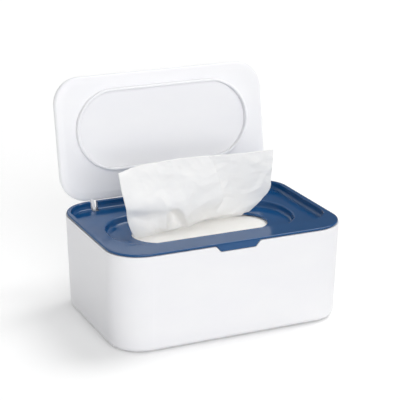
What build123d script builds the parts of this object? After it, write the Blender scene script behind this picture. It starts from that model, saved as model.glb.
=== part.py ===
from build123d import *
import os

# Countertop wipes dispenser: a tapered tub on four feet, a cover frame that drops into the
# tub, a flip lid on two pinned arms that stands open, a stack of wipes and the next wipe,
# pulled up through the opening.
# X runs along the length, Y from the front (-) to the back (+), Z up. The origin is on the
# surface that the feet stand on, under the middle of the tub.

# ---------------------------------------------------------------- tub
TUB_LENGTH = 190.0            # outside, along X, at the top edge
TUB_DEPTH = 132.0             # outside, along Y, at the top edge
TUB_TOP = 76.2                # top edge of the wall above the table
TUB_WALL = 2.2
TUB_FLOOR = 2.6
TUB_CORNER = 27.0             # outside corner in plan, at the top edge
TUB_DRAFT = 1.6               # degrees that each wall leans outwards
TUB_BOTTOM_ROUND = 4.6        # outside, where the walls turn into the floor

# ---------------------------------------------------------------- feet
FOOT_STAND = 1.0              # how far the feet hold the tub off the table
FOOT_RADIUS = 7.5
FOOT_SEAT = 0.9               # how deep a foot sits in the tub's underside
FOOT_INSET = 24.0             # foot centre from the tub's outline, both ways
FOOT_GAP = 0.1                # round the foot, in its seat
FOOT_EDGE = 0.5

# ---------------------------------------------------------------- cover frame
COVER_WALL = 1.8
FLANGE_REVEAL = 0.5           # the flange stands this far inside the tub's outline
FLANGE_HEIGHT = 1.2
FLANGE_ROUND = 0.9
SHADOW_HEIGHT = 0.8           # groove between tub and flange
SHADOW_DEPTH = 1.0
SKIRT_HEIGHT = 8.1            # part of the cover that reaches down into the tub
SKIRT_GAP = 0.3               # between skirt and tub wall

TRAY_DEPTH = 5.9              # the lid's seat below the rim
TRAY_SIDE_RIM = 4.3           # rim width, from the tub's outline to the tray
TRAY_REAR_RIM = 4.4
TRAY_FRONT_RIM = 20.8
TRAY_CORNER = 21.0
TRAY_FOOT_ROUND = 3.0         # where the tray's wall meets its floor
RIM_INNER_EDGE = 0.4          # chamfer round the top of the tray

RECESS_END_LAND = 15.4        # tray floor between the recess and the side rims
RECESS_FRONT_LAND = 10.0      # tray floor in front of the recess
RECESS_WIDTH = 73.0           # at the tray's floor
RECESS_END_FLAT = 5.0         # straight middle of its end walls
RECESS_DEPTH = 5.3
RECESS_SIDE_SLOPE = 3.0       # how far its front and rear walls lean in towards its floor
RECESS_END_SLOPE = 0.6        # the same at its ends
RECESS_FOOT_ROUND = 2.5
RECESS_EDGE_ROUND = 1.5
LEDGE_END = 18.95             # recess floor left at each end of the opening
LEDGE_FRONT = 13.2            # recess floor left in front of the opening
LEDGE_REAR = 11.8
OPENING_EDGE = 0.5            # chamfer round the opening

TAB_TOP_WIDTH = 35.5          # front finger tab, where it leaves the flange
TAB_BOTTOM_WIDTH = 28.0
TAB_DROP = 4.2                # how far the tab reaches below the tub's top edge
TAB_GAP = 0.35                # between the tab and its notch in the tub
TAB_REVEAL = 0.3              # the tab's face behind the tub's front
TAB_ROUND = 1.6               # its lower corners
TAB_FLARE = 3.0               # where its sides turn out into the flange

FRONT_RIB_THICKNESS = 1.4     # stiffening ribs under the front rim
FRONT_RIB_COUNT = 6
FRONT_RIB_PITCH = 28.0

# ---------------------------------------------------------------- lid hinge
HINGE_INSET = 30.0            # arm centre from the tub's end
PIVOT_REACH = 2.6             # pivot in front of the tub's rear outline
PIVOT_DROP = 0.6              # pivot below the tray's floor
OPEN_ANGLE = 99.9             # from shut to the lid's stop
ARM_THICKNESS = 2.4
ARM_EYE_RADIUS = 2.0
ARM_ROOT_RADIUS = 1.2         # the arm's end in the lid's edge
ARM_ROOT_LIFT = 0.8           # the arm's root above the lid's inner face
PIN_RADIUS = 1.0
PIN_RUNNING_GAP = 0.06        # round the pin, in the arm's eye
PIN_HELD_GAP = 0.01           # round the pin, in the ears
PIN_END_GAP = 0.3             # pin end inside the ear's outer face
SLOT_GAP = 1.6                # beside the arm, on each side
SLOT_FRONT_GAP = 5.4          # in front of the arm's eye, for the lid's rear edge
EYE_GAP = 0.4                 # under the arm's eye
EAR_WIDTH = 3.2               # housing on each side of the slot
HOUSING_FLOOR = 1.2
HOUSING_REVEAL = 0.5          # the housing's rear face inside the tub's outline
HOUSING_GAP = 0.4             # between the housing and its notch in the tub

# ---------------------------------------------------------------- lid
LID_GAP_SIDE = 1.1            # between the shut lid and the tray's wall
LID_GAP_FRONT = 3.5           # fingertip gap in front of the shut lid
LID_PIVOT_REACH = 6.5         # the lid's rear edge in front of the pivot, lid shut
LID_CORNER = 21.5
LID_SEAT_GAP = 0.3            # shut, above the tray's floor
LINER_HEIGHT = 3.5            # inner face to parting line
LINER_WALL = 1.6
LINER_ROUND = 2.2             # inner edge
LINER_CROWN_DROP = 0.7        # the inner face falls away towards its border
LINER_CROWN_WIDTH = 6.0
LINER_CROWN_ROUND = 12.0
SHELL_HEIGHT = 1.9            # parting line to outer face
SHELL_WALL = 1.3
SHELL_ROUND = 1.5
LOCATING_RIB = 1.2            # thickness of the shell's inner rib
LOCATING_DEPTH = 1.0          # how far the rib reaches into the liner
LOCATING_GAP = 0.15

SEAL_GAP = 0.6                # between the seal's ends and the recess floor's outline, lid shut
SEAL_FRONT_GAP = 2.0          # the same in front of the seal
SEAL_REAR_GAP = 0.2           # and behind it, where the wall leans away from the seal
SEAL_WALL = 2.0
SEAL_STAND = 4.2              # above the lid's inner face
SEAL_SEAT = 0.7               # groove depth in the liner
SEAL_EDGE = 0.5
SEAL_FIT = 0.05               # round the seal, in its groove

# ---------------------------------------------------------------- wipes
STACK_END_GAP = 9.8           # between the stack's ends and the tub's wall, at the top
STACK_SIDE_GAP = 11.8         # the same in front of the stack and behind it
STACK_TOP_GAP = 0.8           # between the stack and the cover's lowest wall
STACK_CORNER = 5.0
STACK_ROUND = 2.5
SOFT_GAP = 0.3                # between soft pieces and what they lie on

WIPE_THICKNESS = 1.4
WIPE_RISE = 45.3              # the wipe's top above the tray's floor
WIPE_TOP_WIDTH = 129.0
WIPE_SHOULDER_DROP = 29.0     # the widest place below the top
WIPE_SHOULDER_WIDTH = 126.0
WIPE_NECK_GAP = 6.2           # between the wipe's foot and each end of the opening
WIPE_NECK_SPREAD = 4.0        # wider by this much where it leaves the recess
WIPE_NECK_X = -4.0            # middle of the neck
WIPE_SHOULDER_X = 2.0
WIPE_Y = 7.4                  # behind the opening's middle
WIPE_SKEW = 4.0               # degrees that its left end turns to the front
WIPE_FOLD_COUNT = 6
WIPE_TOP_FOLD = 1.6           # how far each fold bulges
WIPE_SHOULDER_FOLD = 2.4
WIPE_NECK_FOLD = 3.0

# ---------------------------------------------------------------- worked out from these
TUB_FLOOR_TOP = FOOT_STAND + TUB_FLOOR
FOOT_X = TUB_LENGTH / 2 - FOOT_INSET
FOOT_Y = TUB_DEPTH / 2 - FOOT_INSET

FLANGE_LENGTH = TUB_LENGTH - 2 * FLANGE_REVEAL
FLANGE_DEPTH = TUB_DEPTH - 2 * FLANGE_REVEAL
FLANGE_CORNER = TUB_CORNER - FLANGE_REVEAL
FLANGE_BOTTOM = TUB_TOP + SHADOW_HEIGHT
RIM_TOP = FLANGE_BOTTOM + FLANGE_HEIGHT

SKIRT_INSET = TUB_WALL + SKIRT_GAP
SKIRT_LENGTH = TUB_LENGTH - 2 * SKIRT_INSET
SKIRT_DEPTH = TUB_DEPTH - 2 * SKIRT_INSET
SKIRT_CORNER = TUB_CORNER - SKIRT_INSET
SKIRT_BOTTOM = TUB_TOP - SKIRT_HEIGHT
HOLLOW_LENGTH = SKIRT_LENGTH - 2 * COVER_WALL
HOLLOW_DEPTH = SKIRT_DEPTH - 2 * COVER_WALL
HOLLOW_CORNER = SKIRT_CORNER - COVER_WALL

TRAY_FLOOR = RIM_TOP - TRAY_DEPTH
TRAY_UNDER = TRAY_FLOOR - COVER_WALL
TRAY_LENGTH = TUB_LENGTH - 2 * TRAY_SIDE_RIM
TRAY_FRONT = -TUB_DEPTH / 2 + TRAY_FRONT_RIM
TRAY_REAR = TUB_DEPTH / 2 - TRAY_REAR_RIM
TRAY_WIDTH = TRAY_REAR - TRAY_FRONT
TRAY_Y = (TRAY_FRONT + TRAY_REAR) / 2
RECESS_LENGTH = TRAY_LENGTH - 2 * RECESS_END_LAND
RECESS_CORNER = (RECESS_WIDTH - RECESS_END_FLAT) / 2
RECESS_Y = TRAY_FRONT + RECESS_FRONT_LAND + RECESS_WIDTH / 2
PAN_FLOOR = TRAY_FLOOR - RECESS_DEPTH
PAN_UNDER = PAN_FLOOR - COVER_WALL
PAN_LENGTH = RECESS_LENGTH - 2 * RECESS_END_SLOPE
PAN_WIDTH = RECESS_WIDTH - 2 * RECESS_SIDE_SLOPE
PAN_CORNER = RECESS_CORNER - RECESS_SIDE_SLOPE
PAN_FRONT = RECESS_Y - PAN_WIDTH / 2
OPENING_LENGTH = PAN_LENGTH - 2 * LEDGE_END
OPENING_WIDTH = PAN_WIDTH - LEDGE_FRONT - LEDGE_REAR
OPENING_Y = PAN_FRONT + LEDGE_FRONT + OPENING_WIDTH / 2

PIVOT_Y = TUB_DEPTH / 2 - PIVOT_REACH
PIVOT_Z = TRAY_FLOOR - PIVOT_DROP
SLOT_WIDTH = ARM_THICKNESS + 2 * SLOT_GAP
SLOT_FRONT = PIVOT_Y - ARM_EYE_RADIUS - SLOT_FRONT_GAP
SLOT_FLOOR = PIVOT_Z - ARM_EYE_RADIUS - EYE_GAP
HOUSING_WIDTH = SLOT_WIDTH + 2 * EAR_WIDTH
HOUSING_FRONT = SLOT_FRONT - COVER_WALL
HOUSING_REAR = TUB_DEPTH / 2 - HOUSING_REVEAL
HOUSING_BOTTOM = SLOT_FLOOR - HOUSING_FLOOR
HINGE_X = TUB_LENGTH / 2 - HINGE_INSET
HINGE_SIDES = (-HINGE_X, HINGE_X)

LID_LENGTH_X = TRAY_LENGTH - 2 * LID_GAP_SIDE
LID_FRONT = TRAY_FRONT + LID_GAP_FRONT
LID_REAR = PIVOT_Y - LID_PIVOT_REACH
LID_LENGTH_Y = LID_REAR - LID_FRONT
LID_Y = (LID_FRONT + LID_REAR) / 2
LID_UNDER = TRAY_FLOOR + LID_SEAT_GAP
LID_PARTING = LID_UNDER + LINER_HEIGHT
LINER_BORDER = LID_UNDER + LINER_CROWN_DROP
LOCATING_OUT = LINER_WALL + LOCATING_GAP
LOCATING_IN = LOCATING_OUT + LOCATING_RIB
ARM_ROOT_Y = LID_REAR - ARM_ROOT_RADIUS
ARM_ROOT_Z = LID_UNDER + ARM_ROOT_LIFT + ARM_ROOT_RADIUS
SEAL_LENGTH = PAN_LENGTH - 2 * SEAL_GAP
SEAL_WIDTH = PAN_WIDTH - SEAL_FRONT_GAP - SEAL_REAR_GAP
SEAL_Y = PAN_FRONT + SEAL_FRONT_GAP + SEAL_WIDTH / 2
GROOVE_IN = SEAL_WALL + SEAL_FIT

STACK_LENGTH = TUB_LENGTH - 2 * (TUB_WALL + STACK_END_GAP)
STACK_DEPTH = TUB_DEPTH - 2 * (TUB_WALL + STACK_SIDE_GAP)
STACK_BOTTOM = TUB_FLOOR_TOP + SOFT_GAP
STACK_TOP = PAN_UNDER - STACK_TOP_GAP
WIPE_BOTTOM = STACK_TOP + SOFT_GAP
WIPE_TOP = TRAY_FLOOR + WIPE_RISE
WIPE_NECK_WIDTH = OPENING_LENGTH - 2 * WIPE_NECK_GAP
WIPE_SHOULDER = WIPE_TOP - WIPE_SHOULDER_DROP

# The lid's pieces are drawn as they lie when shut, on planes turned open about the hinge.
HINGE_LINE = Location((0, PIVOT_Y, PIVOT_Z))
LID_TURN = HINGE_LINE * Location((0, 0, 0), (-OPEN_ANGLE, 0, 0)) * HINGE_LINE.inverse()


def lid_plane(height):
    """Level plane of the shut lid at this height, turned to where the lid stands open."""
    return Plane(LID_TURN * Plane.XY.offset(height).location)


def lid_side_plane(x):
    """Plane across the hinge at this x, with the shut lid's Y and Z as its own x and y."""
    return Plane(LID_TURN * Plane.YZ.offset(x).location)


LID_UP = Axis(lid_plane(0).origin, lid_plane(0).z_dir)

os.makedirs("parts", exist_ok=True)


def tab_face(high, grow):
    """Front outline of the finger tab in X and Z, made larger all round for its notch.

    Its sides turn out into the level at high, the underside of the flange or the tub's edge.
    """
    top = TAB_TOP_WIDTH / 2 + grow
    bottom = TAB_BOTTOM_WIDTH / 2 + grow
    low = TUB_TOP - TAB_DROP - grow
    wide = top + TAB_FLARE
    over = high + COVER_WALL
    with BuildSketch(Plane.XZ, mode=Mode.PRIVATE) as face:
        with BuildLine():
            Polyline(
                (-wide, over), (-wide, high), (-top, high), (-bottom, low),
                (bottom, low), (top, high), (wide, high), (wide, over),
                close=True,
            )
        make_face()
        fillet(face.vertices().group_by(Axis.Y)[0], TAB_ROUND + grow)
        turns = [v for v in face.vertices() if v.Y == high and abs(v.X) < wide]
        fillet(turns, TAB_FLARE - grow)
        with Locations((0, high)):
            Rectangle(2 * wide, COVER_WALL, align=(Align.CENTER, Align.MIN), mode=Mode.SUBTRACT)
    return face.sketch


def recess_outline(height, length, width, corner):
    """Level outline of the recess, inside or outside, at this height."""
    with BuildSketch(Plane.XY.offset(height)) as outline:
        with Locations((0, RECESS_Y)):
            RectangleRounded(length, width, corner)
    return outline.sketch.face()


# ================================================================ tub
with BuildPart() as tub:
    with BuildSketch(Plane.XY.offset(TUB_TOP)):
        RectangleRounded(TUB_LENGTH, TUB_DEPTH, TUB_CORNER)
    extrude(amount=-(TUB_TOP - FOOT_STAND), taper=TUB_DRAFT)
    fillet(tub.faces().sort_by(Axis.Z)[0].edges(), TUB_BOTTOM_ROUND)
    # inside, which leans out with the wall
    with BuildSketch(Plane.XY.offset(TUB_TOP)):
        RectangleRounded(TUB_LENGTH - 2 * TUB_WALL, TUB_DEPTH - 2 * TUB_WALL, TUB_CORNER - TUB_WALL)
    extrude(amount=-(TUB_TOP - TUB_FLOOR_TOP), taper=TUB_DRAFT, mode=Mode.SUBTRACT)
    floor_face = tub.faces().filter_by(Axis.Z).sort_by(Axis.Z)[1]
    chamfer(floor_face.edges(), TUB_BOTTOM_ROUND - TUB_WALL)
    # seats for the feet
    with BuildSketch(Plane.XY.offset(FOOT_STAND)):
        with GridLocations(2 * FOOT_X, 2 * FOOT_Y, 2, 2):
            Circle(FOOT_RADIUS + FOOT_GAP)
    extrude(amount=FOOT_SEAT, mode=Mode.SUBTRACT)
    # notch for the finger tab
    with BuildSketch(Plane.XZ.offset(TUB_DEPTH / 2 - 2 * TUB_WALL)):
        add(tab_face(TUB_TOP, TAB_GAP))
    extrude(amount=3 * TUB_WALL, mode=Mode.SUBTRACT)
    # notches for the two hinge housings
    with BuildSketch(Plane.XY.offset(HOUSING_BOTTOM - HOUSING_GAP)):
        for x in HINGE_SIDES:
            with Locations((x, HOUSING_REAR)):
                Rectangle(HOUSING_WIDTH + 2 * HOUSING_GAP, 4 * TUB_WALL)
    extrude(amount=TUB_TOP - HOUSING_BOTTOM + HOUSING_GAP, mode=Mode.SUBTRACT)
tub.part.label = "tub"
export_step(tub.part, "parts/tub.step")


# ================================================================ feet
def make_foot(name, x, y):
    """Round rubber foot, pressed into its seat in the tub's underside."""
    with BuildPart() as foot:
        with BuildSketch():
            with Locations((x, y)):
                Circle(FOOT_RADIUS)
        extrude(amount=FOOT_STAND + FOOT_SEAT)
        chamfer(foot.edges().group_by(Axis.Z)[0], FOOT_EDGE)
    foot.part.label = name
    export_step(foot.part, f"parts/{name}.step")


make_foot("foot_front_left", -FOOT_X, -FOOT_Y)
make_foot("foot_front_right", FOOT_X, -FOOT_Y)
make_foot("foot_rear_left", -FOOT_X, FOOT_Y)
make_foot("foot_rear_right", FOOT_X, FOOT_Y)


# ================================================================ cover frame
with BuildPart() as cover:
    # flange over the tub's edge
    with BuildSketch(Plane.XY.offset(FLANGE_BOTTOM)):
        RectangleRounded(FLANGE_LENGTH, FLANGE_DEPTH, FLANGE_CORNER)
    extrude(amount=FLANGE_HEIGHT)
    fillet(cover.faces().sort_by(Axis.Z)[-1].edges(), FLANGE_ROUND)
    # narrower step under it, which rests on the tub's edge and leaves the shadow line
    with BuildSketch(Plane.XY.offset(TUB_TOP)):
        RectangleRounded(
            FLANGE_LENGTH - 2 * SHADOW_DEPTH, FLANGE_DEPTH - 2 * SHADOW_DEPTH, FLANGE_CORNER - SHADOW_DEPTH
        )
    extrude(amount=SHADOW_HEIGHT)
    # skirt, which leans in with the tub's wall
    with BuildSketch(Plane.XY.offset(TUB_TOP)):
        RectangleRounded(SKIRT_LENGTH, SKIRT_DEPTH, SKIRT_CORNER)
    extrude(amount=-SKIRT_HEIGHT, taper=TUB_DRAFT)
    with BuildSketch(Plane.XY.offset(SKIRT_BOTTOM)):
        RectangleRounded(HOLLOW_LENGTH, HOLLOW_DEPTH, HOLLOW_CORNER)
    extrude(amount=TRAY_UNDER - SKIRT_BOTTOM, mode=Mode.SUBTRACT)
    # hollow of the front rim, round the tray's front wall
    with BuildSketch(Plane.XY.offset(TRAY_UNDER)):
        RectangleRounded(HOLLOW_LENGTH, HOLLOW_DEPTH, HOLLOW_CORNER)
        with Locations((0, TRAY_Y)):
            RectangleRounded(
                TRAY_LENGTH + 2 * COVER_WALL,
                TRAY_WIDTH + 2 * COVER_WALL,
                TRAY_CORNER + COVER_WALL,
                mode=Mode.SUBTRACT,
            )
    extrude(amount=RIM_TOP - COVER_WALL - TRAY_UNDER, mode=Mode.SUBTRACT)
    # ribs under the front rim
    with BuildSketch(Plane.XY.offset(TRAY_UNDER)):
        with Locations((0, (TRAY_FRONT - HOLLOW_DEPTH / 2) / 2)):
            with GridLocations(FRONT_RIB_PITCH, 1, FRONT_RIB_COUNT, 1):
                Rectangle(FRONT_RIB_THICKNESS, TRAY_FRONT + HOLLOW_DEPTH / 2)
    extrude(amount=RIM_TOP - COVER_WALL - TRAY_UNDER)
    # pan of the recess
    loft(
        sections=[
            recess_outline(
                PAN_UNDER, PAN_LENGTH + 2 * COVER_WALL, PAN_WIDTH + 2 * COVER_WALL, PAN_CORNER + COVER_WALL
            ),
            recess_outline(
                TRAY_FLOOR,
                RECESS_LENGTH + 2 * COVER_WALL,
                RECESS_WIDTH + 2 * COVER_WALL,
                RECESS_CORNER + COVER_WALL,
            ),
        ],
        ruled=True,
    )
    # housings of the two hinges
    with BuildSketch(Plane.XY.offset(HOUSING_BOTTOM)):
        for x in HINGE_SIDES:
            with Locations((x, HOUSING_FRONT)):
                Rectangle(HOUSING_WIDTH, HOUSING_REAR - HOUSING_FRONT, align=(Align.CENTER, Align.MIN))
    extrude(amount=FLANGE_BOTTOM - HOUSING_BOTTOM)
    # finger tab, down from the flange in its notch
    with BuildSketch(Plane.XZ.offset(TUB_DEPTH / 2 - SKIRT_INSET - COVER_WALL / 2)):
        add(tab_face(FLANGE_BOTTOM, 0))
    extrude(amount=SKIRT_INSET + COVER_WALL / 2 - TAB_REVEAL)
    # tray for the lid
    with BuildSketch(Plane.XY.offset(TRAY_FLOOR)):
        with Locations((0, TRAY_Y)):
            RectangleRounded(TRAY_LENGTH, TRAY_WIDTH, TRAY_CORNER)
    extrude(amount=TRAY_DEPTH, mode=Mode.SUBTRACT)
    rim_face = cover.faces().filter_by(Axis.Z).sort_by(Axis.Z)[-1]
    chamfer(rim_face.inner_wires()[0].edges(), RIM_INNER_EDGE)
    tray_face = cover.faces().filter_by_position(Axis.Z, TRAY_FLOOR - 0.01, TRAY_FLOOR + 0.01)
    fillet(tray_face.sort_by(SortBy.AREA)[-1].outer_wire().edges(), TRAY_FOOT_ROUND)
    # recess and its opening
    loft(
        sections=[
            recess_outline(PAN_FLOOR, PAN_LENGTH, PAN_WIDTH, PAN_CORNER),
            recess_outline(TRAY_FLOOR, RECESS_LENGTH, RECESS_WIDTH, RECESS_CORNER),
        ],
        ruled=True,
        mode=Mode.SUBTRACT,
    )
    tray_face = cover.faces().filter_by_position(Axis.Z, TRAY_FLOOR - 0.01, TRAY_FLOOR + 0.01)
    fillet(tray_face.sort_by(SortBy.AREA)[-1].inner_wires()[0].edges(), RECESS_EDGE_ROUND)
    pan_face = cover.faces().filter_by_position(Axis.Z, PAN_FLOOR - 0.01, PAN_FLOOR + 0.01)
    fillet(pan_face.sort_by(SortBy.AREA)[-1].outer_wire().edges(), RECESS_FOOT_ROUND)
    with BuildSketch(Plane.XY.offset(PAN_UNDER)):
        with Locations((0, OPENING_Y)):
            SlotOverall(OPENING_LENGTH, OPENING_WIDTH)
    extrude(amount=COVER_WALL, mode=Mode.SUBTRACT)
    pan_face = cover.faces().filter_by_position(Axis.Z, PAN_FLOOR - 0.01, PAN_FLOOR + 0.01)
    chamfer(pan_face.sort_by(SortBy.AREA)[-1].inner_wires()[0].edges(), OPENING_EDGE)
    # hinge slots, open upwards and to the rear, and the holes for the pins
    with BuildSketch(Plane.XY.offset(SLOT_FLOOR)):
        for x in HINGE_SIDES:
            with Locations((x, SLOT_FRONT)):
                Rectangle(SLOT_WIDTH, TUB_DEPTH / 2 - SLOT_FRONT, align=(Align.CENTER, Align.MIN))
    extrude(amount=RIM_TOP - SLOT_FLOOR, mode=Mode.SUBTRACT)
    for x in HINGE_SIDES:
        with BuildSketch(Plane.YZ.offset(x)):
            with Locations((PIVOT_Y, PIVOT_Z)):
                Circle(PIN_RADIUS + PIN_HELD_GAP)
        extrude(amount=HOUSING_WIDTH / 2, both=True, mode=Mode.SUBTRACT)
cover.part.label = "cover"
export_step(cover.part, "parts/cover.step")


# ================================================================ hinge pins
def make_pin(name, x):
    """Plain pin, held by the housing's two ears with the lid's arm between them."""
    with BuildPart() as pin:
        with BuildSketch(Plane.YZ.offset(x)):
            with Locations((PIVOT_Y, PIVOT_Z)):
                Circle(PIN_RADIUS)
        extrude(amount=HOUSING_WIDTH / 2 - PIN_END_GAP, both=True)
    pin.part.label = name
    export_step(pin.part, f"parts/{name}.step")


make_pin("hinge_pin_left", -HINGE_X)
make_pin("hinge_pin_right", HINGE_X)


# ================================================================ lid, inner half
with BuildPart() as liner:
    with BuildSketch(lid_plane(LID_UNDER)):
        with Locations((0, LID_Y)):
            RectangleRounded(LID_LENGTH_X, LID_LENGTH_Y, LID_CORNER)
    extrude(amount=LINER_HEIGHT)
    # the inner face falls away towards its rounded border
    inner_face = liner.faces().sort_by(LID_UP)[0]
    chamfer(inner_face.edges(), LINER_CROWN_WIDTH, LINER_CROWN_DROP, reference=inner_face)
    inner_face = liner.faces().sort_by(LID_UP)[0]
    fillet(inner_face.edges(), LINER_CROWN_ROUND)
    border = liner.edges().filter_by_position(LID_UP, LINER_BORDER - 0.01, LINER_BORDER + 0.01)
    fillet(border, LINER_ROUND)
    # arms from the rear edge down to the pins
    for x in HINGE_SIDES:
        with BuildSketch(lid_side_plane(x)):
            with Locations((ARM_ROOT_Y, ARM_ROOT_Z)):
                Circle(ARM_ROOT_RADIUS)
            with Locations((PIVOT_Y, PIVOT_Z)):
                Circle(ARM_EYE_RADIUS)
            make_hull()
            with Locations((PIVOT_Y, PIVOT_Z)):
                Circle(PIN_RADIUS + PIN_RUNNING_GAP, mode=Mode.SUBTRACT)
        extrude(amount=ARM_THICKNESS / 2, both=True)
    # hollow behind
    with BuildSketch(lid_plane(LID_PARTING)):
        with Locations((0, LID_Y)):
            RectangleRounded(
                LID_LENGTH_X - 2 * LINER_WALL, LID_LENGTH_Y - 2 * LINER_WALL, LID_CORNER - LINER_WALL
            )
    extrude(amount=-(LINER_HEIGHT - LINER_WALL), mode=Mode.SUBTRACT)
    # groove for the seal
    with BuildSketch(lid_plane(LID_UNDER)):
        with Locations((0, SEAL_Y)):
            SlotOverall(SEAL_LENGTH + 2 * SEAL_FIT, SEAL_WIDTH + 2 * SEAL_FIT)
            SlotOverall(SEAL_LENGTH - 2 * GROOVE_IN, SEAL_WIDTH - 2 * GROOVE_IN, mode=Mode.SUBTRACT)
    extrude(amount=SEAL_SEAT, mode=Mode.SUBTRACT)
liner.part.label = "lid_liner"
export_step(liner.part, "parts/lid_liner.step")


# ================================================================ lid, outer half
with BuildPart() as shell:
    with BuildSketch(lid_plane(LID_PARTING)):
        with Locations((0, LID_Y)):
            RectangleRounded(LID_LENGTH_X, LID_LENGTH_Y, LID_CORNER)
    extrude(amount=SHELL_HEIGHT)
    fillet(shell.faces().sort_by(LID_UP)[-1].edges(), SHELL_ROUND)
    # hollow inside its wall
    with BuildSketch(lid_plane(LID_PARTING)):
        with Locations((0, LID_Y)):
            RectangleRounded(
                LID_LENGTH_X - 2 * LOCATING_OUT, LID_LENGTH_Y - 2 * LOCATING_OUT, LID_CORNER - LOCATING_OUT
            )
    extrude(amount=SHELL_HEIGHT - SHELL_WALL, mode=Mode.SUBTRACT)
    # rib that finds its place inside the liner's wall
    with BuildSketch(lid_plane(LID_PARTING - LOCATING_DEPTH)):
        with Locations((0, LID_Y)):
            RectangleRounded(
                LID_LENGTH_X - 2 * LOCATING_OUT, LID_LENGTH_Y - 2 * LOCATING_OUT, LID_CORNER - LOCATING_OUT
            )
            RectangleRounded(
                LID_LENGTH_X - 2 * LOCATING_IN,
                LID_LENGTH_Y - 2 * LOCATING_IN,
                LID_CORNER - LOCATING_IN,
                mode=Mode.SUBTRACT,
            )
    extrude(amount=LOCATING_DEPTH + SHELL_HEIGHT - SHELL_WALL)
shell.part.label = "lid_shell"
export_step(shell.part, "parts/lid_shell.step")


# ================================================================ lid seal
with BuildPart() as seal:
    with BuildSketch(lid_plane(LID_UNDER + SEAL_SEAT)):
        with Locations((0, SEAL_Y)):
            SlotOverall(SEAL_LENGTH, SEAL_WIDTH)
            SlotOverall(SEAL_LENGTH - 2 * SEAL_WALL, SEAL_WIDTH - 2 * SEAL_WALL, mode=Mode.SUBTRACT)
    extrude(amount=-(SEAL_SEAT + SEAL_STAND))
    chamfer(seal.faces().sort_by(LID_UP)[0].edges(), SEAL_EDGE)
seal.part.label = "lid_seal"
export_step(seal.part, "parts/lid_seal.step")


# ================================================================ wipes
with BuildPart() as stack:
    with BuildSketch(Plane.XY.offset(STACK_BOTTOM)):
        RectangleRounded(STACK_LENGTH, STACK_DEPTH, STACK_CORNER)
    extrude(amount=STACK_TOP - STACK_BOTTOM)
    fillet(stack.faces().sort_by(Axis.Z)[-1].edges(), STACK_ROUND)
    fillet(stack.faces().sort_by(Axis.Z)[0].edges(), STACK_ROUND)
stack.part.label = "wipes_stack"
export_step(stack.part, "parts/wipes_stack.step")


def wipe_section(height, middle, width, fold):
    """Cut through the pulled wipe at this height: a band that bulges to and fro in folds."""
    plane = Plane((0, OPENING_Y + WIPE_Y, height), x_dir=Vector(1, 0, 0).rotate(Axis.Z, WIPE_SKEW))
    step = width / WIPE_FOLD_COUNT
    with BuildSketch(plane) as section:
        with BuildLine():
            for side in (0, WIPE_THICKNESS):
                for k in range(WIPE_FOLD_COUNT):
                    left = middle - width / 2 + k * step
                    SagittaArc((left, side), (left + step, side), fold if k % 2 else -fold)
            for end in (middle - width / 2, middle + width / 2):
                Line((end, 0), (end, WIPE_THICKNESS))
        make_face()
    return section.sketch.face()


with BuildPart() as wipe:
    loft(
        sections=[
            wipe_section(WIPE_BOTTOM, WIPE_NECK_X, WIPE_NECK_WIDTH, WIPE_NECK_FOLD),
            wipe_section(TRAY_FLOOR, WIPE_NECK_X, WIPE_NECK_WIDTH + WIPE_NECK_SPREAD, WIPE_NECK_FOLD),
            wipe_section(WIPE_SHOULDER, WIPE_SHOULDER_X, WIPE_SHOULDER_WIDTH, WIPE_SHOULDER_FOLD),
            wipe_section(WIPE_TOP, 0, WIPE_TOP_WIDTH, WIPE_TOP_FOLD),
        ],
        ruled=True,
    )
wipe.part.label = "pulled_wipe"
export_step(wipe.part, "parts/pulled_wipe.step")
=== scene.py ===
import bpy
import math
from mathutils import Matrix, Vector, noise

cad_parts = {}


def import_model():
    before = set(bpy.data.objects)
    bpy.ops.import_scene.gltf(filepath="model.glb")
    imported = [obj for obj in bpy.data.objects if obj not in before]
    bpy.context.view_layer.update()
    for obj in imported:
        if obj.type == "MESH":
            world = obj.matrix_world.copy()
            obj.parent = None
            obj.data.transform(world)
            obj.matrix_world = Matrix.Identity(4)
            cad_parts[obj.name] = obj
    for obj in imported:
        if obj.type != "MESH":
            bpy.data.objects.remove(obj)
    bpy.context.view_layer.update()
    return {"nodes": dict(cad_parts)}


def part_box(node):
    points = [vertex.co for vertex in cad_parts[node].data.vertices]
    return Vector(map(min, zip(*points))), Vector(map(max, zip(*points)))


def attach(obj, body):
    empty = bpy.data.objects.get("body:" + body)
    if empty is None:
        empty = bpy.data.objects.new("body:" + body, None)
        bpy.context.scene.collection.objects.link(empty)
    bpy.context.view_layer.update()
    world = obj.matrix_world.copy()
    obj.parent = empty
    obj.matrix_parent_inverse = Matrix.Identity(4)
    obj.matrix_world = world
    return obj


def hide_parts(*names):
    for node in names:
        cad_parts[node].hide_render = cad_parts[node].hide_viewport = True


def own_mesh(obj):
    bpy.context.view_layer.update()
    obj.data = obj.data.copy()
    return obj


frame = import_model()
NODES = frame["nodes"]
MM = 0.001


# ---------------------------------------------------------------- material helpers
def linear(r, g, b):
    """Linear colour from the 0 to 255 values that the surface shows in plain light."""
    def one(value):
        value = value / 255.0
        return value / 12.92 if value <= 0.04045 else ((value + 0.055) / 1.055) ** 2.4

    return (one(r), one(g), one(b), 1.0)


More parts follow.
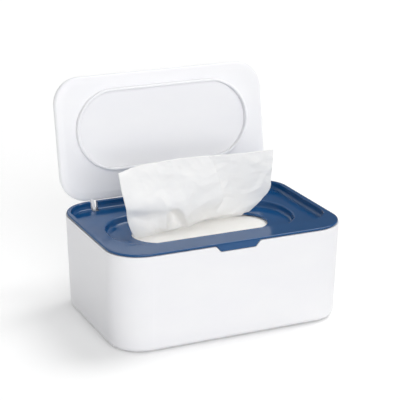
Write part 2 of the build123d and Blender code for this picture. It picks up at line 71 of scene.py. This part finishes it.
class Shader:
    """A material with one Principled surface and short calls for its nodes."""

    def __init__(self, name):
        self.material = bpy.data.materials.new(name)
        self.material.use_nodes = True
        self.tree = self.material.node_tree
        self.surface = self.tree.nodes["Principled BSDF"]
        self.place = self.tree.nodes.new("ShaderNodeTexCoord").outputs["Object"]

    def set(self, **values):
        for key, value in values.items():
            self.surface.inputs[key.replace("_", " ")].default_value = value
        return self

    def link(self, output, socket):
        self.tree.links.new(output, socket)

    def node(self, kind, **inputs):
        made = self.tree.nodes.new(kind)
        for key, value in inputs.items():
            socket = made.inputs[key.replace("_", " ")]
            if isinstance(value, bpy.types.NodeSocket):
                self.link(value, socket)
            else:
                socket.default_value = value
        return made

    def noise(self, scale, detail=3.0, rough=0.5, stretch=None):
        source = self.place
        if stretch:
            mapping = self.node("ShaderNodeMapping", Vector=source)
            mapping.inputs["Scale"].default_value = stretch
            source = mapping.outputs["Vector"]
        made = self.node(
            "ShaderNodeTexNoise", Vector=source, Scale=scale, Detail=detail, Roughness=rough
        )
        return made.outputs["Fac"]

    def ramp(self, factor, *stops):
        made = self.node("ShaderNodeValToRGB", Fac=factor)
        elements = made.color_ramp.elements
        while len(elements) < len(stops):
            elements.new(0.5)
        for element, (position, colour) in zip(elements, stops):
            element.position = position
            element.color = colour
        return made.outputs["Color"]

    def between(self, factor, low, high):
        made = self.node("ShaderNodeMapRange", Value=factor)
        made.inputs["To Min"].default_value = low
        made.inputs["To Max"].default_value = high
        return made.outputs["Result"]

    def bumps(self, *layers):
        """Each layer is (height, distance in metres, strength), one over the other."""
        normal = None
        for height, distance, strength in layers:
            made = self.node("ShaderNodeBump", Height=height, Distance=distance, Strength=strength)
            if normal:
                self.link(normal, made.inputs["Normal"])
            normal = made.outputs["Normal"]
        self.link(normal, self.surface.inputs["Normal"])
        return self


def moulded(name, colour, shade, rough, grain=0.00002):
    """Moulded plastic: slight flow marks in the colour, a fine skin and soft sink marks."""
    made = Shader(name)
    made.set(IOR=1.5)
    flow = made.noise(18.0, 3.0, 0.55, (1.0, 1.0, 2.2))
    made.link(made.ramp(flow, (0.35, shade), (0.65, colour)), made.surface.inputs["Base Color"])
    haze = made.noise(55.0, 4.0, 0.6)
    made.link(made.between(haze, rough * 0.82, rough * 1.18), made.surface.inputs["Roughness"])
    skin = made.noise(2600.0, 2.0, 0.5)
    sink = made.noise(14.0, 1.0, 0.4)
    made.bumps((sink, 0.00012, 0.25), (skin, grain, 0.35))
    return made.material


def rubbery(name, colour, shade, rough):
    """Soft rubber or silicone, a little dusty, with a matt fine skin."""
    made = Shader(name)
    made.set(IOR=1.43)
    dust = made.noise(420.0, 4.0, 0.7)
    made.link(made.ramp(dust, (0.3, shade), (0.7, colour)), made.surface.inputs["Base Color"])
    made.link(made.between(dust, rough, rough + 0.14), made.surface.inputs["Roughness"])
    made.bumps((made.noise(1800.0, 2.0, 0.6), 0.00003, 0.5))
    return made.material


def ground_steel(name):
    """Plain pin steel with turning marks round its length."""
    made = Shader(name)
    made.set(Metallic=1.0)
    marks = made.noise(900.0, 2.0, 0.5, (9.0, 1.0, 1.0))
    made.link(
        made.ramp(marks, (0.2, linear(150, 150, 154)), (0.8, linear(196, 196, 200))),
        made.surface.inputs["Base Color"],
    )
    made.link(made.between(marks, 0.22, 0.42), made.surface.inputs["Roughness"])
    made.bumps((marks, 0.00001, 0.4))
    return made.material


def cloth(name, colour, shade, crease_strength):
    """Non-woven wipe: short tangled fibres, a faint rib along X and light damp creases."""
    made = Shader(name)
    made.set(Sheen_Weight=0.10, Sheen_Roughness=0.6, IOR=1.35)
    made.set(Subsurface_Weight=0.15, Subsurface_Scale=0.002, Subsurface_Radius=(1.0, 0.96, 0.92))
    tangle = made.noise(1500.0, 5.0, 0.7)
    patches = made.noise(70.0, 3.0, 0.6)
    mixed = made.node("ShaderNodeMath")
    mixed.operation = "ADD"
    made.link(made.between(tangle, 0.0, 0.5), mixed.inputs[0])
    made.link(made.between(patches, 0.0, 0.5), mixed.inputs[1])
    made.link(
        made.ramp(mixed.outputs[0], (0.3, shade), (0.62, colour)), made.surface.inputs["Base Color"]
    )
    made.link(made.between(tangle, 0.62, 0.86), made.surface.inputs["Roughness"])
    rib = made.noise(160.0, 2.0, 0.5, (0.12, 1.0, 4.5))
    crease = made.noise(26.0, 3.0, 0.55, (0.5, 1.0, 1.6))
    made.bumps((crease, 0.0012, crease_strength), (rib, 0.0002, 0.35), (tangle, 0.00006, 0.5))
    return made.material


WHITE = moulded("white_moulded", linear(232, 232, 234), linear(230, 230, 233), 0.34)
# same white plastic as the tub, given a lighter colour: painted light for the light that the lid gets
# less of
LID_WHITE_PAINTED_LIGHT = moulded("lid_white_painted_light", linear(239, 239, 241), linear(237, 237, 240), 0.36)
NAVY = moulded("navy_moulded", linear(18, 74, 124), linear(16, 70, 118), 0.13, 0.000006)
SILICONE = rubbery("seal_silicone_skin", linear(241, 241, 243), linear(237, 237, 240), 0.45)
FOOT = rubbery("foot_rubber_skin", linear(150, 150, 152), linear(128, 128, 130), 0.7)
STEEL = ground_steel("pin_steel_ground")
WIPE = cloth("wipe_nonwoven", linear(251, 250, 248), linear(247, 246, 244), 0.25)
STACK = cloth("stack_nonwoven", linear(251, 249, 245), linear(247, 245, 240), 0.25)

FINISHES = {
    "tub": WHITE,
    "cover": NAVY,
    "lid_liner": LID_WHITE_PAINTED_LIGHT,
    "lid_shell": LID_WHITE_PAINTED_LIGHT,
    "lid_seal": SILICONE,
    "hinge_pin_left": STEEL,
    "hinge_pin_right": STEEL,
    "foot_front_left": FOOT,
    "foot_front_right": FOOT,
    "foot_rear_left": FOOT,
    "foot_rear_right": FOOT,
}
for node_name, finish in FINISHES.items():
    node = NODES[node_name]
    node.data.materials.clear()
    node.data.materials.append(finish)


# ---------------------------------------------------------------- mesh helpers
def build(name, vertices, faces, material, body):
    """New smooth mesh piece that rides on a body and takes its finish from a slot."""
    mesh = bpy.data.meshes.new(name)
    mesh.from_pydata(vertices, [], faces)
    mesh.update()
    mesh.shade_smooth()
    mesh.materials.append(material)
    piece = bpy.data.objects.new(name, mesh)
    bpy.context.scene.collection.objects.link(piece)
    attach(piece, body)
    return piece


def smoothstep(low, high, value):
    t = min(1.0, max(0.0, (value - low) / (high - low)))
    return t * t * (3.0 - 2.0 * t)


def bell(value, middle, width):
    return math.exp(-(((value - middle) / width) ** 2))


# ---------------------------------------------------------------- the stack of wipes
STACK_LOW, STACK_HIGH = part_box("wipes_stack")
STACK_LAYERS = 14
STACK_AROUND = 144                 # points round each row of the stack
STACK_RINGS = 26                   # rings that close its top
STACK_CORNER_POWER = 2 / 14        # exponent of the rounded rectangle that the rows follow
LAYER_SHIFT = 0.9                  # how far a layer may shrink back, in millimetres
SIDE_RIPPLE = 0.35                 # millimetres
# share of a layer's height, and how far its edge lies inside there, in millimetres
LAYER_EDGE = ((0.02, 1.5), (0.2, 0.45), (0.5, 0.05), (0.8, 0.45), (0.98, 1.5))


def stack_of_wipes():
    """Folded wipes, one over the other, with a rounded edge all round each of them."""
    low, high = Vector(STACK_LOW), Vector(STACK_HIGH)
    half_x, half_y = (high.x - low.x) / 2, (high.y - low.y) / 2
    around = STACK_AROUND
    rows = []
    thick = (high.z - low.z) / STACK_LAYERS
    for layer in range(STACK_LAYERS):
        base = low.z + layer * thick
        shrink = LAYER_SHIFT * MM * noise.noise(Vector((layer * 1.7, 0.3, 2.0)))
        for share, inset in LAYER_EDGE:
            rows.append((base + share * thick, inset * MM + abs(shrink)))
    vertices, faces = [], []
    for z, inset in rows:
        for k in range(around):
            angle = 2 * math.pi * k / around
            c, s = math.cos(angle), math.sin(angle)
            x = math.copysign(abs(c) ** STACK_CORNER_POWER, c) * (half_x - inset)
            y = math.copysign(abs(s) ** STACK_CORNER_POWER, s) * (half_y - inset)
            ripple = SIDE_RIPPLE * MM * noise.noise(Vector((x * 40, y * 40, z * 900)))
            length = math.hypot(x, y)
            x, y = x + ripple * x / length, y + ripple * y / length
            vertices.append((x, y, z))
    for r in range(len(rows) - 1):
        for k in range(around):
            a, b = r * around + k, r * around + (k + 1) % around
            faces.append((a, b, b + around, a + around))
    # top, drawn in rings towards the middle so that it can carry soft creases
    last = (len(rows) - 1) * around
    top_z = rows[-1][0]
    for ring in range(1, STACK_RINGS + 1):
        scale = 1 - ring / (STACK_RINGS + 0.5)
        for k in range(around):
            x, y, _ = vertices[last + k]
            px, py = x * scale, y * scale
            rise = 0.30 * noise.noise(Vector((px * 30, py * 55, 4.0)))
            rise += 0.18 * noise.noise(Vector((px * 90, py * 120, 9.0)))
            edge = smoothstep(0.0, 0.10, 1 - scale)
            vertices.append((px, py, top_z + MM * min(0.0, rise - 0.15) * edge))
        for k in range(around):
            a = last + (ring - 1) * around + k
            b = last + (ring - 1) * around + (k + 1) % around
            faces.append((a, b, b + around, a + around))
    vertices.append((0.0, 0.0, top_z - 0.2 * MM))
    final = len(vertices) - 1
    start = last + STACK_RINGS * around
    for k in range(around):
        faces.append((start + k, start + (k + 1) % around, final))
    faces.append(tuple(reversed(range(around))))
    return build("wipes_stack_cloth", vertices, faces, STACK, "tub")


stack = stack_of_wipes()
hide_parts("wipes_stack")


# ---------------------------------------------------------------- the pulled wipe
# places and lengths in millimetres, apart from the shares, counts and slopes named as such
WIPE_FOOT = STACK_HIGH[2] / MM + 0.3
WIPE_THICK = 0.45
WIPE_REACH = 53.4                  # foot to top edge, at its left end
WIPE_ACROSS, WIPE_UP = 260, 90     # counts of faces across and up
WIPE_Y, WIPE_TURN = 9.4, 0.07      # its middle, and the slope at which it runs back to the right
FOLD_X, FOLD_SHARE = 15.0, 0.6     # about where the fold is, and the share of columns left of it
TOP_RISE, TOP_RISES = 3.9, (-70, -44)      # top edge: step up from its left end
TOP_CROWN, TOP_CROWN_BELL = 1.0, (-18, 25) # low crown, as middle and width
TOP_FALL, TOP_FALLS = 2.5, (5, 70)         # step down to its right end
LEFT_FOOT, LEFT_SPREAD = -51.5, 15.0       # left edge at the foot, and how far it spreads
RIGHT_FOOT, RIGHT_SLANT = 47.6, 59.0       # slanting lower part of the right edge
RIGHT_SIDE, RIGHT_LEAN = 68.9, 2.0         # its upper part, which leans in towards the top
RIGHT_ROUND = 1.6                          # rounding where the two parts meet
FOLD_PLACE, FOLD_BOW = 20.5, 11.4          # furthest right that the lap's edge comes, and its bow
FOLD_MIDDLE, FOLD_HALF = 86.0, 36.0        # height of that place, and how far off it is bowed in full

# forms that stand out or lie back: depths, then where they are across (x) or up (z);
# a step goes from its first place to its second, a bell is given as middle and width
LAP_DEPTH = 4.4                    # how far the left panel stands out at its lapping edge
LAP_OPENS = (70.0, 86.0)           # step up: the lap opens
LAP_SINKS, LAP_SINK = (88.0, 120.0), 2.8   # step up: its edge lies back again
PANEL_BULGE, PANEL_BELL = 3.4, (90.0, 17.0)
BACK_START, BACK_HEIGHT = -5.6, 72.0       # the right panel lies this far back at this height
BACK_LEAN = 8.6 / 46.0             # slope at which it leans forward towards the top
RIM_LEVEL = 84.2                   # gathered rim above the table
RIM_BEND, RIM_CLIMB = -28.0, 0.155 # left of here the rim climbs at this slope
RIM_FALL, RIM_FALLS = 17.0, (-22.0, -5.0)  # step across: the rim's right end falls
RIM_BULGE, RIM_ABOVE, RIM_WIDTH = 2.4, 4.0, 9.0
RIM_ENDS = (-9.0, -4.5)            # step across
LEFT_END = (-66.0, -52.0)          # step across: the forms fade in from the left edge
UNDER_DEPTH = -1.8                 # cloth under the rim
FLAP_DEPTH, FLAP_ENDS = 3.2, (-40.0, -33.0)    # flap at the lower left
RIDGE_DEPTH, RIDGE_BELL = 4.4, (-28.0, 3.6)    # ridge at the pocket's left
POCKET_DEPTH, POCKET_BELL = 9.0, (-16.5, 6.5)
FACET_DEPTH, FACET_ACROSS, FACET_UP = 1.6, (18.0, 7.0), (72.5, 4.0)
FOOT_ROLL = (64.7, 69.0)           # step up: the foot turns back


def wipe_edges(v):
    """Left and right end of the wipe at a share of its height, in millimetres."""
    left = LEFT_FOOT - LEFT_SPREAD * math.sqrt(v + 0.002)
    slant, upright = RIGHT_FOOT + RIGHT_SLANT * v, RIGHT_SIDE - RIGHT_LEAN * v
    right = min(slant, upright) - RIGHT_ROUND * math.exp(-abs(slant - upright) / RIGHT_ROUND)
    return left, right


def wipe_top(x):
    """How far the top edge stands over its left end, in millimetres."""
    rise = TOP_RISE * smoothstep(*TOP_RISES, x) + TOP_CROWN * bell(x, *TOP_CROWN_BELL)
    return rise - TOP_FALL * smoothstep(*TOP_FALLS, x)


def fold_line(z):
    """Where the left panel laps over the right one, in millimetres."""
    return FOLD_PLACE - FOLD_BOW * ((z - FOLD_MIDDLE) / FOLD_HALF) ** 2


def rim_height(x):
    """Height of the gathered rim, under which the cloth is drawn back, in millimetres."""
    level = RIM_LEVEL + RIM_CLIMB * max(0.0, RIM_BEND - x)
    return level - RIM_FALL * smoothstep(*RIM_FALLS, x) ** 1.6


def panels(x, z):
    """The left panel, which laps over the right one along a slanting fold."""
    aside = x - fold_line(z)
    lap = smoothstep(*LAP_OPENS, z)
    over = smoothstep(0.0, 0.5, aside)
    behind = BACK_START + BACK_LEAN * (z - BACK_HEIGHT)
    panel = PANEL_BULGE * bell(z, *PANEL_BELL) * (1.0 - 0.4 * smoothstep(-30.0, 0.0, aside))
    edge = behind + (LAP_DEPTH - LAP_SINK * smoothstep(*LAP_SINKS, z) - behind) * lap
    panel += (edge - panel) * smoothstep(-42.0, -1.0, aside)
    right_panel = behind - 1.5 * math.exp(-max(0.0, aside) / 10.0) * lap
    return panel * (1.0 - over) + right_panel * over


def with_rim(front, x, z):
    """Adds the rounded rim at the lower left, with a flap, a ridge and a pocket under it."""
    rim = rim_height(x)
    left_part = 1.0 - smoothstep(*RIM_ENDS, x)
    # the rim turns in slowly at the left and faster over the pocket
    drop = 12.0 - 5.0 * smoothstep(-36.0, -24.0, x)
    under = smoothstep(-1.5, drop, rim - z) * left_part
    inner = smoothstep(*LEFT_END, x)
    front += RIM_BULGE * bell(z, rim + RIM_ABOVE, RIM_WIDTH) * left_part * (1.0 - under) * inner
    slanting_edge = 84.0 - 0.65 * (x + 56.0)
    flap = smoothstep(-1.0, 6.0, slanting_edge - z) * (1.0 - smoothstep(*FLAP_ENDS, x))
    off_foot = smoothstep(WIPE_FOOT, WIPE_FOOT + 5.0, z)
    relief = RIDGE_DEPTH * bell(x, *RIDGE_BELL) - POCKET_DEPTH * bell(x, *POCKET_BELL)
    hollow = UNDER_DEPTH + off_foot * relief + FLAP_DEPTH * flap
    return front * (1.0 - under) + hollow * under * inner


def drawn_forward(x, z):
    """Distance in millimetres that the folds bring the cloth towards the front."""
    front = with_rim(panels(x, z), x, z)
    # a bright facet and a rolled foot at the lower right
    front += FACET_DEPTH * bell(x, *FACET_ACROSS) * bell(z, *FACET_UP)
    foot = 1.0 - smoothstep(*FOOT_ROLL, z)
    front -= foot * (1.5 + 2.6 * bell(x, 18.0, 16.0) + 3.0 * bell(x, -10.5, 4.0))
    return front


def ridges(value):
    """Sharp creases where a noise value passes through nought, 0 to 1."""
    return max(0.0, 1.0 - 3.0 * abs(value))


def slack(x, z):
    """Small creases, level at the right, and sharp ones all over but the left end, in millimetres."""
    right_part = smoothstep(34.0, 52.0, x)
    level = 0.24 * noise.noise(Vector((x * 0.05, z * 0.30, 2.0))) * right_part
    slanting = 0.8 * noise.noise(Vector((x * 0.055 + z * 0.03, z * 0.075, 1.0)))
    fine = 0.35 * noise.noise(Vector((x * 0.12 - z * 0.05, z * 0.17, 5.0)))
    coarse = noise.noise(Vector((x * 0.030 + z * 0.022, z * 0.060 - x * 0.030, 7.0)))
    close = noise.noise(Vector((x * 0.075 - z * 0.040, z * 0.140 + x * 0.030, 11.0)))
    sharp = ridges(coarse) + 0.25 * ridges(close)
    return level + slanting + fine + sharp * smoothstep(-60.0, -30.0, x)


def wipe_point(u, v):
    """Point of the pulled wipe; u runs left to right and v from foot to top."""
    left, right = wipe_edges(v)
    fold = fold_line(WIPE_FOOT + (WIPE_REACH + wipe_top(FOLD_X)) * v)
    if u < FOLD_SHARE:
        x = left + (fold - left) * u / FOLD_SHARE
    else:
        x = fold + (right - fold) * (u - FOLD_SHARE) / (1.0 - FOLD_SHARE)
    z = WIPE_FOOT + (WIPE_REACH + wipe_top(x)) * v
    y = WIPE_Y + WIPE_TURN * x - drawn_forward(x, z) - slack(x, z)
    return Vector((x, y, z)) * MM


def pulled_wipe():
    across, up = WIPE_ACROSS, WIPE_UP
    vertices = [wipe_point(i / across, j / up) for j in range(up + 1) for i in range(across + 1)]
    faces = []
    for j in range(up):
        for i in range(across):
            a = j * (across + 1) + i
            faces.append((a, a + 1, a + across + 2, a + across + 1))
    piece = build("pulled_wipe_cloth", vertices, faces, WIPE, "cover")
    thick = piece.modifiers.new("thickness", "SOLIDIFY")
    thick.thickness = WIPE_THICK * MM
    thick.offset = 0.0
    bpy.context.view_layer.update()
    thickened = piece.evaluated_get(bpy.context.evaluated_depsgraph_get())
    done = bpy.data.meshes.new_from_object(thickened)
    piece.modifiers.clear()
    piece.data = done
    piece.data.shade_smooth()
    return piece


wipe = pulled_wipe()
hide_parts("pulled_wipe")
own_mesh(wipe)


# ---------------------------------------------------------------- floor, light and background
FLOOR_REACH = 6.0                  # metres each way
FLOOR_GLOW = 0.14
WORLD_LIGHT = 0.42
# sine of the elevation, and how bright the surroundings look there in a reflection
WORLD_STOPS = ((0.0, 1.0), (0.06, 1.0), (0.20, 0.16), (0.55, 0.20), (0.9, 0.9))


def floor():
    """Wide floor; it glows a little for the camera and reflections, so that it is white there."""
    mesh = bpy.data.meshes.new("floor")
    reach = FLOOR_REACH
    corners = [(-reach, -reach, 0), (reach, -reach, 0), (reach, reach, 0), (-reach, reach, 0)]
    mesh.from_pydata(corners, [], [(0, 1, 2, 3)])
    piece = bpy.data.objects.new("floor", mesh)
    bpy.context.scene.collection.objects.link(piece)
    material = bpy.data.materials.new("floor_white")
    material.use_nodes = True
    tree = material.node_tree
    surface = tree.nodes["Principled BSDF"]
    surface.inputs["Base Color"].default_value = (0.93, 0.93, 0.93, 1.0)
    surface.inputs["Roughness"].default_value = 0.9
    surface.inputs["Specular IOR Level"].default_value = 0.0
    surface.inputs["Emission Color"].default_value = (1.0, 1.0, 1.0, 1.0)
    path = tree.nodes.new("ShaderNodeLightPath")
    seen = tree.nodes.new("ShaderNodeMath")
    seen.operation = "MAXIMUM"
    tree.links.new(path.outputs["Is Camera Ray"], seen.inputs[0])
    tree.links.new(path.outputs["Is Glossy Ray"], seen.inputs[1])
    lift = tree.nodes.new("ShaderNodeMath")
    lift.operation = "MULTIPLY"
    lift.inputs[1].default_value = FLOOR_GLOW
    tree.links.new(seen.outputs[0], lift.inputs[0])
    tree.links.new(lift.outputs[0], surface.inputs["Emission Strength"])
    mesh.materials.append(material)


floor()


def world():
    """White to the camera; reflections see it white near the horizon and dimmer higher up."""
    made = bpy.data.worlds.new("studio")
    bpy.context.scene.world = made
    made.use_nodes = True
    tree = made.node_tree
    nodes, links = tree.nodes, tree.links
    nodes.clear()
    path = nodes.new("ShaderNodeLightPath")
    direction = nodes.new("ShaderNodeTexCoord")
    parts = nodes.new("ShaderNodeSeparateXYZ")
    links.new(direction.outputs["Generated"], parts.inputs[0])
    ramp = nodes.new("ShaderNodeValToRGB")
    while len(ramp.color_ramp.elements) < len(WORLD_STOPS):
        ramp.color_ramp.elements.new(0.5)
    for element, (position, grey) in zip(ramp.color_ramp.elements, WORLD_STOPS):
        element.position = position
        element.color = (grey, grey, grey, 1.0)
    links.new(parts.outputs["Z"], ramp.inputs["Fac"])
    shown = nodes.new("ShaderNodeBackground")
    white_seen = nodes.new("ShaderNodeMath")
    white_seen.operation = "MAXIMUM"
    links.new(ramp.outputs["Color"], white_seen.inputs[0])
    links.new(path.outputs["Is Camera Ray"], white_seen.inputs[1])
    shown.inputs["Color"].default_value = (1.0, 1.0, 1.0, 1.0)
    links.new(white_seen.outputs[0], shown.inputs["Strength"])
    lit = nodes.new("ShaderNodeBackground")
    lit.inputs["Color"].default_value = (0.99, 0.995, 1.0, 1.0)
    lit.inputs["Strength"].default_value = WORLD_LIGHT
    seen = nodes.new("ShaderNodeMath")
    seen.operation = "MAXIMUM"
    links.new(path.outputs["Is Camera Ray"], seen.inputs[0])
    links.new(path.outputs["Is Glossy Ray"], seen.inputs[1])
    both = nodes.new("ShaderNodeMath")
    both.operation = "MAXIMUM"
    links.new(seen.outputs[0], both.inputs[0])
    links.new(path.outputs["Is Transmission Ray"], both.inputs[1])
    mix = nodes.new("ShaderNodeMixShader")
    links.new(both.outputs[0], mix.inputs[0])
    links.new(lit.outputs[0], mix.inputs[1])
    links.new(shown.outputs[0], mix.inputs[2])
    output = nodes.new("ShaderNodeOutputWorld")
    links.new(mix.outputs[0], output.inputs[0])


world()


def sun(name, direction, strength, spread, colour=(1.0, 1.0, 1.0)):
    """Distant soft lamp that shines along the direction given."""
    data = bpy.data.lights.new(name, "SUN")
    data.energy = strength
    data.angle = math.radians(spread)
    data.color = colour
    lamp = bpy.data.objects.new(name, data)
    lamp.rotation_euler = Vector(direction).to_track_quat("-Z", "Y").to_euler()
    bpy.context.scene.collection.objects.link(lamp)


sun("key", (-0.60, -0.12, -1.0), 1.35, 34.0, (1.0, 0.997, 0.99))
sun("front", (0.08, 0.95, -0.31), 1.60, 50.0)
sun("left fill", (1.0, -0.3, -0.1), 0.22, 60.0)


# ---------------------------------------------------------------- camera, as the photograph sees it
LENS_PIXELS = 1423.67
FRAME_PIXELS = 400.0
AZIMUTH, ELEVATION, ROLL = -24.60, 18.36, 0.23
DISTANCE = 1.0930
LOOK_AT = Vector((-0.00126, 0.0, 0.08993))


def camera():
    azimuth, elevation = math.radians(AZIMUTH), math.radians(ELEVATION)
    back = Vector(
        (
            math.sin(azimuth) * math.cos(elevation),
            -math.cos(azimuth) * math.cos(elevation),
            math.sin(elevation),
        )
    )
    data = bpy.data.cameras.new("camera")
    data.sensor_fit = "HORIZONTAL"
    data.sensor_width = 36.0
    data.lens = LENS_PIXELS / FRAME_PIXELS * data.sensor_width
    data.clip_start = 0.01
    made = bpy.data.objects.new("camera", data)
    aim = (-back).to_track_quat("-Z", "Y").to_matrix()
    turned = aim @ Matrix.Rotation(math.radians(ROLL), 3, "Z")
    made.matrix_world = Matrix.Translation(LOOK_AT + back * DISTANCE) @ turned.to_4x4()
    bpy.context.scene.collection.objects.link(made)
    bpy.context.scene.camera = made


camera()
bpy.context.scene.view_settings.view_transform = "Standard"
